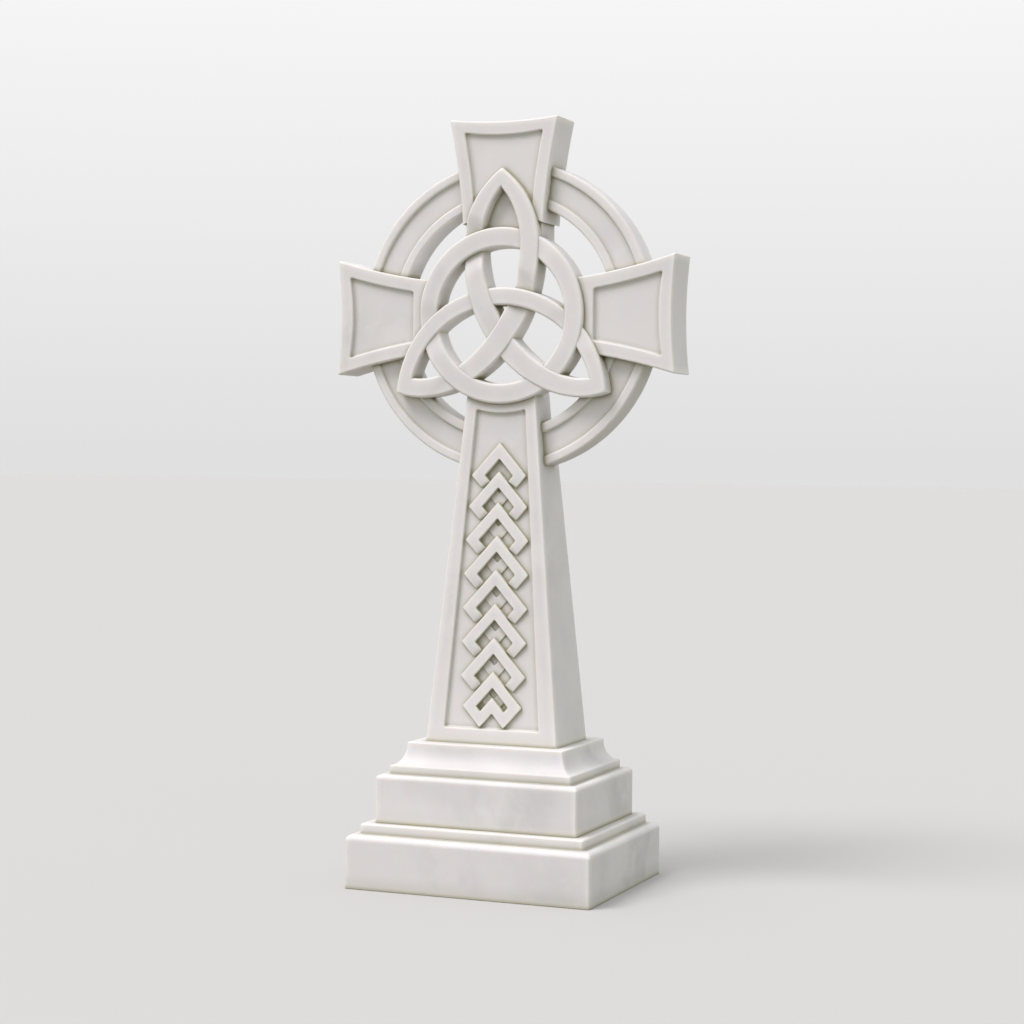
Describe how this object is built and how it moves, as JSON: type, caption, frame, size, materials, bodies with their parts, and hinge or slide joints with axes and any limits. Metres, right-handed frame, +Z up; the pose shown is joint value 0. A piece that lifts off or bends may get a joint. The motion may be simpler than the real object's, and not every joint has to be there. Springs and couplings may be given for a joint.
{
  "type": "celtic cross gravestone",
  "caption": "Standing ringed cross grave marker of carved white marble, with an openwork knot at its head, a diamond chain on its tapering shaft and two stepped plinths.",
  "frame": {"origin": "middle of the underside of the lower plinth, on the ground", "axes": "+Z up, along the shaft; +X along the right arm seen from the front; the carved front faces -Y"},
  "size_m": [0.71, 0.414, 1.5],
  "materials": {
    "marble": "honed white marble"
  },
  "bodies": {
    "root": {"lower_plinth": "marble", "upper_plinth": "marble", "cross": "marble"}
  },
  "joints": []
}
